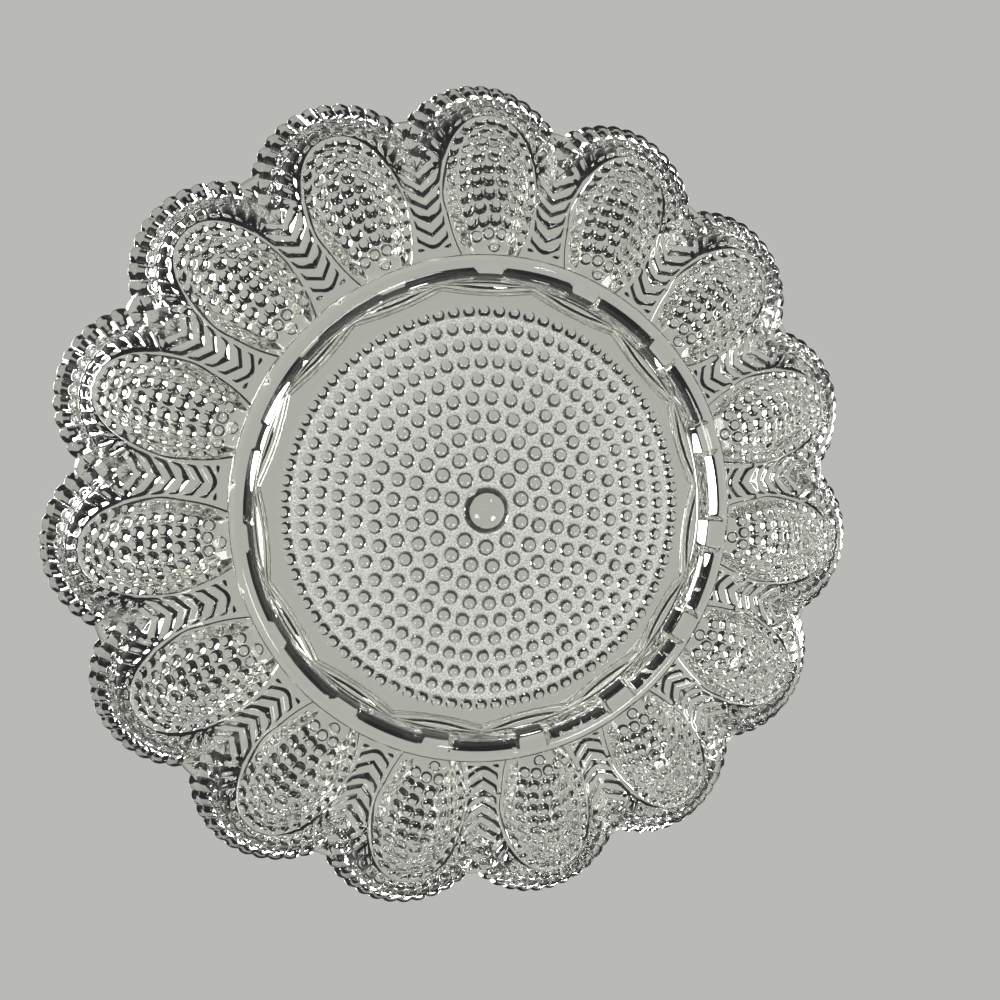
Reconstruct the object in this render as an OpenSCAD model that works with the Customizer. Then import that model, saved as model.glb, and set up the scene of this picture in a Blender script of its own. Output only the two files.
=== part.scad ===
// Deviled egg platter in pressed clear glass, right way up, standing on its foot ring.
// The plate is one pressing. Its regions are drawn as separate solids that meet face to face:
// a flat hobnailed centre, a foot ring, and fifteen petals, each an egg cup with a fluted rim.

/* [Centre] */
// Radius of the flat centre, from which the rest of the plate is set outwards
floor_r = 68.4; // [67.6:0.2:70]
// Height of the centre's underside over the table
floor_z = 11.2; // [10.4:0.1:12.4]
// Width of the boss in the middle of the underside
boss_d = 15.4; // [12:0.2:17]
// Height of that boss
boss_h = 4.4; // [3:0.1:6]
// How far the centre stands above the webs on the serving side
well_step = 1.5; // [0.8:0.1:2]
// Radius of each scallop in the edge of that raised centre
scallop_r = 30.4; // [29.6:0.1:31.2]
// Distance from the edge of the flat centre out to the deepest point of a scallop
scallop_gap = 0.7; // [0.4:0.1:1.5]

/* [Glass] */
// Thickness of the centre under its raised part, of the webs and of the cups
glass_t = 3.6; // [3:0.1:4.2]
// Thickness of the rim
rim_t = 3.2; // [2.8:0.1:3.6]

/* [Foot ring] */
// Distance from the edge of the flat centre to the inside of the foot ring
foot_gap = 4.7; // [4:0.1:5.4]
// Width of the foot ring
foot_w = 7.8; // [7:0.1:9]
// Width of the flat that stands on the table
foot_flat_w = 2.6; // [2:0.1:3.4]

/* [Egg bowls] */
// Half the width of the egg outline
egg_half_w = 15.4; // [15:0.1:15.8]
// Length of the egg outline from its widest place to its round outer end
egg_blunt_l = 22.5; // [22:0.1:23]
// Length of the egg outline from its widest place to its narrow inner end
egg_sharp_l = 33.5; // [33:0.1:34]
// Radius of the flank towards the round end
egg_blunt_flank_r = 50; // [46:0.5:54]
// Radius of the flank towards the narrow end
egg_sharp_flank_r = 46; // [45.5:0.1:48]
// How far the narrow end reaches in past the middle of the foot ring
egg_tuck = 7.5; // [6.5:0.1:8.5]
// How far the deepest point lies inwards of the widest place
bowl_back = 7.5; // [6.5:0.1:8.5]
// Height of the deepest point over the table
bowl_low_z = 2.2; // [1.8:0.1:3]
// Height at which a bowl ends in its shoulder, over the centre's underside
crease_rise = 2.7; // [2.3:0.1:3.2]

/* [Petals] */
// Height of the whole plate
plate_h = 29; // [27:0.5:32]
// Width of the level shoulder beside the bowl's widest place
shoulder_w = 3.1; // [2.6:0.1:3.6]
// Width of the shoulder at the bowl's round end
shoulder_end_w = 1.6; // [1.2:0.1:2]
// How far the inside of the shoulder falls towards the bowl
shoulder_fall = 2; // [1:0.1:2.4]
// Width over which the shoulder turns up into the steep outer skirt
turn_w = 4.15; // [3.6:0.05:4.8]
// Slope of that skirt, from the level
skirt_slope = 57.6; // [54:0.2:64]
// How far the notch between two petals lies in from their outer reach
notch_depth = 10.6; // [9.6:0.1:12]
// Width of the web's climb up to the notch
web_run = 33.6; // [31:0.1:36]

/* [Hobnails] */
// Width of a hobnail next to the boss
nail_d = 5.5; // [4.6:0.1:5.6]
// Width of a hobnail at the edge of the centre
nail_edge_d = 3.9; // [3.4:0.1:4.2]
// Height of a hobnail on the centre
nail_h = 1.7; // [0.8:0.1:1.9]
// Distance from the edge of the boss to the middle of the first ring of hobnails
nail_gap = 4.3; // [4:0.1:4.6]
// Distance from the edge of the flat centre in to the middle of the last ring
nail_edge_gap = 4.38; // [4:0.02:4.6]
// How much nearer each next ring lies
nail_ring_closing = 0.12; // [0.1:0.01:0.14]
// Width of a hobnail on a cup
cup_nail_d = 3.5; // [3:0.1:3.6]
// Height of a hobnail on a cup
cup_nail_h = 1.1; // [0.6:0.05:1.2]
// Gap between two hobnails of one ring on a cup
cup_nail_gap = 0.55; // [0.4:0.05:1]
// Gap between two rings of hobnails on a cup
cup_ring_gap = 0.05; // [0.05:0.05:0.3]
// Distance from the edge of the bowl to the middle of the outer ring of hobnails
cup_nail_inset = 2.5; // [2.3:0.1:3]

/* [Flutes] */
// Radius of one flute on the rim
flute_r = 2.6; // [2.4:0.05:2.8]
// How far a flute stands out of the skirt
flute_out = 0.8; // [0.5:0.05:1]
// Width of the fluted band, measured at the rim
band_w = 5.6; // [5:0.1:6]

/* [Hidden] */
cup_count = 15;
cup_step = 360 / cup_count;
flute_count = 11;
flute_step = 10;
// Hobnails in each ring on the centre, from the boss outwards
nail_counts = [10, 16, 23, 29, 36, 40, 53, 59, 69, 81];
// Steps in which the length of an egg ring is measured
ring_steps = 24;
// One overrun serves every cut, and one hair gap serves hobnails on curved glass
over = 0.5;
nail_seat = 0.02;
// Share of the skirt's height over which it turns up out of the shoulder
skirt_turn_share = 0.17;

// Radius of an arc from its half width and its rise
function arc_r(half_w, rise) = (half_w * half_w + rise * rise) / (2 * rise);

// Radii from the plate's axis outwards: foot ring, scallops and egg outline
foot_r = floor_r + foot_gap + foot_w / 2;
foot_out_r = foot_r + foot_w / 2;
scallop_mid_r = floor_r + scallop_gap + scallop_r;
egg_mid_r = foot_r - egg_tuck + egg_sharp_l;
bowl_mid_r = egg_mid_r - bowl_back;

// The bowl's outside meets the crease at its sides and at its round end
crease_z = floor_z + crease_rise;
bowl_rise = crease_z - bowl_low_z;
bowl_r = arc_r(egg_half_w, bowl_rise);
bowl_sweep_r = arc_r(bowl_back + egg_blunt_l, bowl_rise);
sweep_c_r = bowl_sweep_r - bowl_r;
sweep_c_z = bowl_low_z + bowl_sweep_r;

// Petal: shoulder, skirt and rim circle, with the web and the notch between two of them
shoulder_r = egg_half_w + shoulder_w;
lobe_centre_r = egg_mid_r + egg_blunt_l + shoulder_end_w - shoulder_r;
skirt_turn_z = crease_z + (plate_h - crease_z) * skirt_turn_share;
lobe_r = shoulder_r + turn_w + (plate_h - skirt_turn_z) / tan(skirt_slope);
band_r = lobe_r - band_w;
notch_r = lobe_centre_r + lobe_r - notch_depth;
web_flat_r = notch_r - web_run;
wedge_l = lobe_centre_r + lobe_r + flute_out + over;

// Hobnail rings: on the centre between the boss and the edge, on a cup as many as it holds
nail_last = len(nail_counts) - 1;
nail_first_r = boss_d / 2 + nail_gap;
nail_ring_pitch = (floor_r - nail_edge_gap - nail_first_r
    + nail_last * (nail_last - 1) / 2 * nail_ring_closing) / nail_last;
cup_nail_pitch = cup_nail_d + cup_nail_gap;
cup_ring_pitch = cup_nail_d + cup_ring_gap;
cup_nail_rings = 1 + floor((egg_half_w - cup_nail_inset - cup_nail_d / 2) / cup_ring_pitch);

function two(i) = str(i < 10 ? "0" : "", i);
function name_of(kind, i) = str(kind, "_", two(i));
function skirt_r(z) = lobe_r - (plate_h - z) / tan(skirt_slope);
cups = [for (i = [1 : cup_count]) name_of("egg_cup", i)];
rims = [for (i = [1 : cup_count]) name_of("fluted_rim", i)];
nails = [for (i = [1 : cup_count]) name_of("cup_hobnails", i)];

// Radius of the end arc that meets a flank arc without a corner
function end_r(half_w, reach, flank_r) =
    (half_w * (2 * flank_r - half_w) - reach * reach) / (2 * (flank_r - reach));

// Half of the egg outline, from its widest place to one end
module egg_half(half_w, reach, flank_r) {
    tip = end_r(half_w, reach, flank_r);
    turn = tip > 0 ? flank_r * (reach - tip) / (flank_r - tip) : reach + half_w;
    intersection() {
        translate([0, half_w - flank_r]) circle(flank_r);
        translate([0, flank_r - half_w]) circle(flank_r);
        translate([0, -half_w]) square([turn, 2 * half_w]);
    }
    if (tip > 0) translate([reach - tip, 0]) circle(tip);
}

// The egg outline seen from above, drawn in by a wall thickness
module egg_outline(wall) {
    translate([egg_mid_r, 0]) {
        egg_half(egg_half_w - wall, egg_blunt_l - wall, egg_blunt_flank_r - wall);
        mirror([1, 0])
            egg_half(egg_half_w - wall, egg_sharp_l - wall, egg_sharp_flank_r - wall);
    }
}

// A bowl's body down from a height: a ring swept about a level axis, cut to the egg outline
module bowl_body(wall, top) {
    intersection() {
        translate([bowl_mid_r, 0, sweep_c_z]) rotate([90, 0, 0])
            rotate_extrude() translate([sweep_c_r, 0]) circle(bowl_r - wall);
        linear_extrude(top) egg_outline(wall);
    }
}

// The bowl's hollow, which stops short of the glass over the foot ring
module bowl_hollow() {
    difference() {
        bowl_body(glass_t, plate_h + over);
        cylinder(h = plate_h + over, r = foot_out_r);
    }
}

// Everything above the skirt's outside, turned about the middle of the petal
module lobe_body() {
    translate([lobe_centre_r, 0, 0]) rotate_extrude() polygon([
        [0, crease_z], [shoulder_r, crease_z], [skirt_r(skirt_turn_z), skirt_turn_z],
        [lobe_r, plate_h], [0, plate_h]]);
}

// The hollow above the skirt's inside
module lobe_hollow() {
    lift = glass_t;
    in = rim_t / sin(skirt_slope);
    translate([lobe_centre_r, 0, 0]) rotate_extrude() polygon([
        [0, crease_z + lift - shoulder_fall],
        [bowl_r - glass_t, crease_z + lift - shoulder_fall],
        [skirt_r(crease_z + lift) - in, crease_z + lift],
        [skirt_r(plate_h + over) - in, plate_h + over], [0, plate_h + over]]);
}

// Everything above the underside of the webs, turned about the plate's axis
module web_body() {
    rotate_extrude() polygon([
        [0, floor_z], [web_flat_r, floor_z], [notch_r, plate_h - glass_t],
        [notch_r, plate_h], [0, plate_h]]);
}

// The hollow above the webs
module web_hollow() {
    rise = plate_h - glass_t - floor_z;
    run = notch_r - web_flat_r;
    rotate_extrude() polygon([
        [0, floor_z + glass_t], [web_flat_r, floor_z + glass_t], [notch_r, plate_h],
        [notch_r + over * run / rise, plate_h + over], [0, plate_h + over]]);
}

// The slice of the plate that belongs to one petal
module petal_wedge() {
    half = cup_step / 2;
    difference() {
        linear_extrude(plate_h + over) polygon([
            [0, 0], wedge_l * [1, -tan(half)], wedge_l * [1, tan(half)]]);
        translate([0, 0, -over]) cylinder(h = plate_h + 3 * over, r = floor_r);
    }
}

// The part of a petal that the fluted rim takes
module band_space() {
    difference() {
        translate([lobe_centre_r, -lobe_centre_r / 2, 0])
            cube([lobe_centre_r, lobe_centre_r, plate_h + over]);
        translate([lobe_centre_r, 0, -over]) cylinder(h = plate_h + 3 * over, r = band_r);
    }
}

// One egg cup: bowl, shoulder and the webs on both sides
module egg_cup(i) {
    color("gainsboro", 0.6) rotate((i - 1) * cup_step) difference() {
        intersection() {
            union() {
                bowl_body(0, crease_z + glass_t / 2);
                lobe_body();
                web_body();
            }
            petal_wedge();
        }
        bowl_hollow();
        lobe_hollow();
        web_hollow();
        band_space();
    }
}

// One flute: a round rib that lies along the outside of the skirt
module flute(a) {
    sunk = flute_r - flute_out;
    foot = skirt_r(skirt_turn_z);
    length = (plate_h - skirt_turn_z) / sin(skirt_slope);
    rotate(a)
        translate([foot - sunk * sin(skirt_slope), 0, skirt_turn_z + sunk * cos(skirt_slope)])
            rotate([0, 90 - skirt_slope, 0])
                translate([0, 0, -flute_r]) cylinder(h = length + 2 * flute_r, r = flute_r);
}

// One petal's fluted rim
module fluted_rim(i) {
    color("gainsboro", 0.6) rotate((i - 1) * cup_step) difference() {
        intersection() {
            union() {
                lobe_body();
                web_body();
                translate([lobe_centre_r, 0, 0])
                    for (k = [0 : flute_count - 1])
                        flute((k - (flute_count - 1) / 2) * flute_step);
            }
            petal_wedge();
            band_space();
        }
        lobe_hollow();
        web_hollow();
        translate([0, 0, plate_h]) cylinder(h = lobe_r, r = 2 * lobe_centre_r);
    }
}

// A spherical dome with a flat base, which bulges downwards
module dome(width, height) {
    ball_r = (width * width / 4 + height * height) / (2 * height);
    rotate_extrude() intersection() {
        translate([0, ball_r - height]) circle(ball_r);
        translate([0, -height]) square([width / 2, height]);
    }
}

// The flat centre, raised on the serving side inside a scalloped edge
module centre_floor() {
    color("gainsboro", 0.6) {
        translate([0, 0, floor_z]) cylinder(h = glass_t, r = floor_r);
        translate([0, 0, floor_z + glass_t]) difference() {
            cylinder(h = well_step, r = scallop_mid_r);
            for (i = [1 : cup_count]) rotate((i - 1) * cup_step)
                translate([scallop_mid_r, 0, -over]) cylinder(h = well_step + 2 * over, r = scallop_r);
        }
    }
}

module centre_boss() {
    color("whitesmoke", 0.8) translate([0, 0, floor_z]) dome(boss_d, boss_h);
}

module centre_hobnails() {
    color("whitesmoke", 0.8) for (k = [0 : nail_last]) {
        ring_r = nail_first_r + k * nail_ring_pitch - k * (k - 1) / 2 * nail_ring_closing;
        width = nail_d + (nail_edge_d - nail_d) * k / nail_last;
        count = nail_counts[k];
        for (n = [0 : count - 1])
            rotate((n + k / 2) * 360 / count)
                translate([ring_r, 0, floor_z]) dome(width, nail_h * width / nail_d);
    }
}

// The foot ring: a bead under the webs, cut away where the bowls pass through it
module foot_ring() {
    round_r = (foot_w - foot_flat_w) / 2;
    color("gainsboro", 0.6) difference() {
        rotate_extrude() translate([foot_r - foot_w / 2, 0]) union() {
            translate([0, round_r]) square([foot_w, floor_z - round_r]);
            translate([round_r, 0]) square([foot_flat_w, round_r]);
            translate([round_r, round_r]) circle(round_r);
            translate([foot_w - round_r, round_r]) circle(round_r);
        }
        for (i = [1 : cup_count]) rotate((i - 1) * cup_step) bowl_body(0, floor_z + over);
    }
}

// Height of a bowl's outside over the table, along and across the cup
function sweep_h(u, v) =
    let (reach = sweep_c_r + sqrt(bowl_r * bowl_r - v * v), along = u - bowl_mid_r)
    sweep_c_z - sqrt(reach * reach - along * along);

// Half width of the egg outline at a place along the cup, drawn in by a distance
function egg_w(u, wall) =
    let (
        s = u - egg_mid_r,
        flank = (s > 0 ? egg_blunt_flank_r : egg_sharp_flank_r) - wall,
        half = egg_half_w - wall,
        reach = (s > 0 ? egg_blunt_l : egg_sharp_l) - wall,
        tip = end_r(half, reach, flank),
        turn = flank * (reach - tip) / (flank - tip),
        a = abs(s)
    )
    a > reach ? 0
    : (tip > 0 && a > turn) ? sqrt(max(0, tip * tip - pow(a - reach + tip, 2)))
    : max(0, sqrt(flank * flank - s * s) - flank + half);

// One cup hobnail, seated square on the bowl's outside
module cup_nail(u, v) {
    reach = sweep_c_r + sqrt(bowl_r * bowl_r - v * v);
    along = u - bowl_mid_r;
    z = sweep_h(u, v);
    lean_v = asin(v / bowl_r);
    lean_u = asin(along / reach);
    translate([u, v, z]) rotate([0, -lean_u, 0]) rotate([lean_v, 0, 0])
        translate([0, 0, -nail_seat]) dome(cup_nail_d, cup_nail_h);
}

// Length of the drawn-in outline to one end: to its tip, or to where its two flanks cross
function ring_reach(reach, flank_r, wall) =
    min(reach - wall, sqrt((2 * flank_r - egg_half_w - wall) * (egg_half_w - wall)));

// Points round an egg ring that lies inside the bowl's outline by a distance
function ring_points(wall) =
    let (
        u0 = egg_mid_r - ring_reach(egg_sharp_l, egg_sharp_flank_r, wall),
        u1 = egg_mid_r + ring_reach(egg_blunt_l, egg_blunt_flank_r, wall),
        us = [for (j = [0 : ring_steps]) u0 + (u1 - u0) * (1 - cos(180 * j / ring_steps)) / 2]
    )
    concat([for (j = [ring_steps : -1 : 0]) [us[j], egg_w(us[j], wall)]],
           [for (j = [1 : ring_steps]) [us[j], -egg_w(us[j], wall)]]);

// Length along a list of points up to each of them, paired with the point's number
function travelled(pts) =
    [for (j = 0, s = 0; j < len(pts);
          s = s + (j + 1 < len(pts) ? norm(pts[j + 1] - pts[j]) : 0), j = j + 1) [s, j]];

// The hobnails of one cup, in rings that follow the egg outline. Where a ring is narrower than
// a hobnail, the two that would lie side by side give way to one on the middle line.
module cup_hobnails(i) {
    clear_r = foot_out_r + cup_nail_d / 2;
    color("whitesmoke", 0.8) rotate((i - 1) * cup_step)
        for (k = [0 : cup_nail_rings - 1]) {
            pts = ring_points(cup_nail_inset + k * cup_ring_pitch);
            way = travelled(pts);
            total = way[len(way) - 1][0];
            count = floor(total / cup_nail_pitch);
            for (n = [0 : count - 1]) {
                f = lookup((n + (k % 2) / 2) * total / count, way);
                j = min(floor(f), len(pts) - 2);
                p = pts[j] + (pts[j + 1] - pts[j]) * (f - j);
                narrow = abs(p[1]) < cup_nail_d / 2;
                if (norm(p) > clear_r && !(narrow && p[1] < -nail_seat))
                    cup_nail(p[0], narrow ? 0 : p[1]);
            }
        }
}

centre_floor();
centre_boss();
centre_hobnails();
foot_ring();
for (i = [1 : cup_count]) egg_cup(i);
for (i = [1 : cup_count]) fluted_rim(i);
for (i = [1 : cup_count]) cup_hobnails(i);
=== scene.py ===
"""A deviled egg platter in pressed clear glass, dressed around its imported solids.

The plate is one pressing: a flat hobnailed centre, a foot ring and fifteen petals, each an egg
cup with a fluted rim. Every zone of it is a closed mesh whose two faces are height functions of
the place on the plate, so the zones meet without a step. Sizes are in millimetres and become
metres when a mesh is made.
"""
from __future__ import annotations

import logging
import math
from dataclasses import dataclass, field
from enum import Enum

import bpy
import numpy as np
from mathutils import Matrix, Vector


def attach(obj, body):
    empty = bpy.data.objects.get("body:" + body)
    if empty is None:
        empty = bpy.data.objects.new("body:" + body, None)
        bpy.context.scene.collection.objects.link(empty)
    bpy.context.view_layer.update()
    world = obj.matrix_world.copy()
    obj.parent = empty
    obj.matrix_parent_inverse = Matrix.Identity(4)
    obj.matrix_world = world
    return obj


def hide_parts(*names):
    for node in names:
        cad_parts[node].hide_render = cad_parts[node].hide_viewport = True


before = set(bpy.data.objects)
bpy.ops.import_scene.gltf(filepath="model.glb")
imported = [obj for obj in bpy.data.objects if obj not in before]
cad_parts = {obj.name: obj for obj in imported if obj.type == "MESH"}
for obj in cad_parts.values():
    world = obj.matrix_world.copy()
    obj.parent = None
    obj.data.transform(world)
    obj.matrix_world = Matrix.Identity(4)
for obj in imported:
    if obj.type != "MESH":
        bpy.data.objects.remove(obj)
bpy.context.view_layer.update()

LOG = logging.getLogger("platter")
MM = 0.001
ROOT = "root"
TINY = 1e-12
Array = np.ndarray


class Face(Enum):
    """Which of a zone's materials a mesh face takes; the value is its slot."""

    POLISHED = 0
    SHARED_WALL = 1


def hex_colour(code: str) -> tuple[float, float, float, float]:
    """Turns an sRGB hex colour into a linear one.

    Args:
        code: six hex digits, with or without a leading mark.

    Returns:
        Linear red, green and blue, and an alpha of one.
    """
    digits = code.lstrip("#")
    parts = [int(digits[i:i + 2], 16) / 255 for i in (0, 2, 4)]
    linear = [c / 12.92 if c <= 0.04045 else ((c + 0.055) / 1.055) ** 2.4 for c in parts]
    return (*linear, 1.0)


def smooth_min(a: Array, b: Array | float, blend: float) -> Array:
    """The lower of two heights, with a fillet where they meet.

    Formula: the minimum less the square of how far the two lie inside the blend.

    Args:
        a, b: the two heights.
        blend: difference in height over which the fillet runs.

    Returns:
        The blended lower height.
    """
    inside = np.maximum(blend - np.abs(a - b), 0.0) / blend
    return np.minimum(a, b) - inside * inside * blend / 4


def smooth_max(a: Array, b: Array | float, blend: float) -> Array:
    """The higher of two heights, with a fillet where they meet; the mirror of smooth_min."""
    return -smooth_min(-a, -b, blend)


def fade(x: Array, start: float, end: float) -> Array:
    """A cubic step that is zero before start and one past end.

    Args:
        x: the places to look at.
        start, end: where the step leaves zero and reaches one.

    Returns:
        Values from zero to one.
    """
    t = np.clip((x - start) / (end - start), 0.0, 1.0)
    return t * t * (3 - 2 * t)


def dome_rise(distance: Array, width: float, height: float) -> Array:
    """Height of a spherical dome over the surface that carries it.

    Formula: a ball whose cap has that width and height, and zero outside the cap.

    Args:
        distance: distance from the dome's middle.
        width, height: sizes of the cap.

    Returns:
        The rise at each distance.
    """
    ball = (width * width / 4 + height * height) / (2 * height)
    under = np.maximum(ball * ball - distance * distance, 0.0)
    return np.maximum(np.sqrt(under) - (ball - height), 0.0)


def ridges(count: Array) -> Array:
    """Height over a row of ridges, one on each whole number: parabolas from zero up to one."""
    across = 2 * np.abs(count - np.round(count))
    return 1 - across ** 2


def polar(r: Array, phi: Array) -> tuple[Array, Array]:
    """Turns a radius and an angle into places along and across a petal."""
    return r * np.cos(phi), r * np.sin(phi)


def walked(*axes: Array) -> Array:
    """Length of the way from a path's first point to each of its points.

    Formula: the sum of the straight steps between the points.

    Args:
        axes: the points' coordinates, one array for each, with the path along the last axis.

    Returns:
        Lengths, shaped as each of the arrays.
    """
    steps = np.sqrt(sum(np.diff(axis) ** 2 for axis in axes))
    return np.concatenate([np.zeros_like(steps[..., :1]), np.cumsum(steps, axis=-1)], axis=-1)


def turned(angle: float) -> Array:
    """The matrix that turns points about the plate's axis by an angle in radians."""
    c, s = math.cos(angle), math.sin(angle)
    return np.array([[c, -s, 0.0], [s, c, 0.0], [0.0, 0.0, 1.0]])


def add_object(name: str, data: bpy.types.ID) -> bpy.types.Object:
    """Makes an object of a mesh, a light or a camera and puts it into the scene."""
    made = bpy.data.objects.new(name, data)
    bpy.context.scene.collection.objects.link(made)
    return made


@dataclass(frozen=True)
class PlateForm:
    """The plate's two faces as height functions, in a petal's own frame.

    u runs outwards along the middle of the petal and v across it; heights are over the table.
    A name that ends in _r is a radius, and one that ends in _h, _z or _t a height, a level or a
    thickness.
    """

    cups: int = 15
    plate_h: float = 29.0
    glass_t: float = 3.6
    rim_t: float = 3.2
    floor_z: float = 11.2
    floor_r: float = 68.4
    well_step: float = 1.5
    well_r: float = 70.8
    well_wave: float = 3.0
    well_run: float = 1.4
    well_spread: float = 0.5
    lip_h: float = 1.6
    web_flat_r: float = 95.0
    notch_r: float = 128.6
    notch_slope: float = 3.0
    lobe_centre_r: float = 108.6
    lobe_r: float = 30.6
    crease_z: float = 13.9
    shoulder_r: float = 18.5
    shoulder_fall: float = 2.0
    skirt_angle: float = 57.6
    skirt_turn_share: float = 0.17
    foot_r: float = 77.0
    foot_w: float = 7.8
    foot_crest_r: float = 2.3
    foot_draft: float = 0.3
    bowl_mid_r: float = 95.5
    bowl_low_z: float = 2.2
    bowl_r: float = 15.985
    bowl_sweep_r: float = 44.31
    bowl_side_slope: float = 3.0
    bowl_end_slope: float = 1.0
    bowl_under_foot: float = 1.4
    egg_mid_r: float = 103.0
    egg_half_w: float = 15.4
    egg_blunt_l: float = 22.5
    egg_sharp_l: float = 33.5
    egg_blunt_flank_r: float = 50.0
    egg_sharp_flank_r: float = 46.0
    flute_apex_r: float = 97.2
    flute_angle: float = 7.2
    flute_widening: float = 1.6e-5
    flute_out: float = 0.85
    bone_lean: float = 44.0
    bone_pitch: float = 3.56
    bone_h: float = 0.8
    bone_start_r: tuple[float, float] = (84.0, 86.0)
    bone_clear: tuple[float, float] = (0.2, 1.6)
    bone_turns: tuple[float, float] = (50.0, 62.0)
    skirt_run: float = 1.0
    fine_blend: float = 0.8
    soft_blend: float = 2.4

    @property
    def half_step(self) -> float:
        """Half of a petal's share of the circle, in radians."""
        return math.pi / self.cups

    @property
    def skirt_slope(self) -> float:
        """Rise of the skirt for one unit outwards."""
        return math.tan(math.radians(self.skirt_angle))

    @property
    def web_slope(self) -> float:
        """Rise of the webs for one unit outwards."""
        rise = self.plate_h - self.glass_t - self.floor_z
        return rise / (self.notch_r - self.web_flat_r)

    def egg_arcs(self, s: Array, wall: float) -> tuple[Array, Array, Array]:
        """Sizes of the egg outline's arcs at each place along the petal.

        Formula: the end's radius is the one that lets it run into the flank without a corner.

        Args:
            s: places along the petal, from the egg's widest place.
            wall: how far the outline is drawn in.

        Returns:
            The length to the end, the flank's radius and the end's radius.
        """
        half = self.egg_half_w - wall
        reach = np.where(s > 0, self.egg_blunt_l, self.egg_sharp_l) - wall
        flank = np.where(s > 0, self.egg_blunt_flank_r, self.egg_sharp_flank_r) - wall
        tip = (half * (2 * flank - half) - reach * reach) / (2 * (flank - reach))
        return reach, flank, tip

    def egg_edge(self, u: Array, v: Array, wall: float = 0.0) -> Array:
        """Signed distance from the egg outline, positive outside it.

        Formula: the outline is four arcs, two flanks and two ends, that meet without a corner.
        A point belongs to an end where it lies past the line from the flank's centre through the
        end's centre.

        Args:
            u, v: places along and across the petal.
            wall: how far the outline is drawn in.

        Returns:
            Distance to the nearest arc.
        """
        s = u - self.egg_mid_r
        reach, flank, tip = self.egg_arcs(s, wall)
        x, y = np.abs(s), np.abs(v)
        flank_y = self.egg_half_w - wall - flank
        tip_x = reach - tip
        past = -x * flank_y - (y - flank_y) * tip_x
        return np.where(past > 0, np.hypot(x - tip_x, y) - tip, np.hypot(x, y - flank_y) - flank)

    def egg_half_width(self, u: Array, wall: float) -> Array:
        """Half the width of the egg outline at each place along the petal.

        Formula: the flank's arc up to where it turns into the end's arc.

        Args:
            u: places along the petal.
            wall: how far the outline is drawn in.

        Returns:
            Half widths, zero past the ends.
        """
        s = u - self.egg_mid_r
        reach, flank, tip = self.egg_arcs(s, wall)
        a = np.abs(s)
        turn = flank * (reach - tip) / (flank - tip)
        end = np.sqrt(np.maximum(tip * tip - (a - reach + tip) ** 2, 0.0))
        side = np.sqrt(np.maximum(flank * flank - s * s, 0.0)) - flank + self.egg_half_w - wall
        width = np.where((tip > 0) & (a > turn), end, side)
        return np.where(a > reach, 0.0, np.maximum(width, 0.0))

    def bowl(self, u: Array, v: Array, wall: float = 0.0) -> Array:
        """Height of a bowl's surface.

        Formula: a circle of the bowl's radius, less the wall, swept about a level axis.

        Args:
            u, v: places along and across the petal.
            wall: glass between this surface and the bowl's outside.

        Returns:
            Heights over the table.
        """
        tube = self.bowl_r - wall
        sweep = self.bowl_sweep_r - self.bowl_r
        reach = sweep + np.sqrt(np.maximum(tube * tube - v * v, 0.0))
        along = u - self.bowl_mid_r
        lift = np.sqrt(np.maximum(reach * reach - along * along, 0.0))
        return self.bowl_low_z + self.bowl_sweep_r - lift

    def flute_turn(self, u: Array, v: Array) -> Array:
        """Degrees from the middle of the petal, seen from the point the flutes fan out from."""
        return np.degrees(np.arctan2(np.abs(v), u - self.flute_apex_r))

    def flutes(self, u: Array, v: Array) -> Array:
        """How far each place lies up a flute, from zero in a valley to one on a crest.

        Formula: the flutes fan out from one point of the petal, a little wider the further they
        turn, and each is a parabola across its width.

        Args:
            u, v: places along and across the petal.

        Returns:
            Values from zero to one.
        """
        turn = self.flute_turn(u, v)
        return ridges(turn / self.flute_angle * (1 - self.flute_widening * turn * turn))

    def herringbone(self, u: Array, v: Array) -> Array:
        """How far each place lies up a stroke of the herringbone on the webs.

        Formula: straight strokes that lean towards the rim, each a parabola across its width,
        which meet their mirror images where two petals meet. Towards the rim they give way to
        the flutes.

        Args:
            u, v: places along and across the petal.

        Returns:
            Values from zero to one.
        """
        lean = math.radians(self.bone_lean)
        bone = ridges((u * math.sin(lean) + np.abs(v) * math.cos(lean)) / self.bone_pitch)
        share = fade(self.flute_turn(u, v), *self.bone_turns)
        return share * bone + (1 - share) * self.flutes(u, v)

    def bead(self, r: Array) -> Array:
        """Height of the foot ring's outside.

        Formula: a parabola, and then a side with a little draft.

        Args:
            r: distances from the plate's axis.

        Returns:
            Heights over the table, far above it outside the bead.
        """
        x = np.abs(r - self.foot_r)
        edge = self.foot_w / 2 - self.foot_draft
        corner = edge * edge / (2 * self.foot_crest_r)
        side = (self.floor_z - corner) / self.foot_draft
        return np.where(x < edge, x * x / (2 * self.foot_crest_r), corner + (x - edge) * side)

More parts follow.
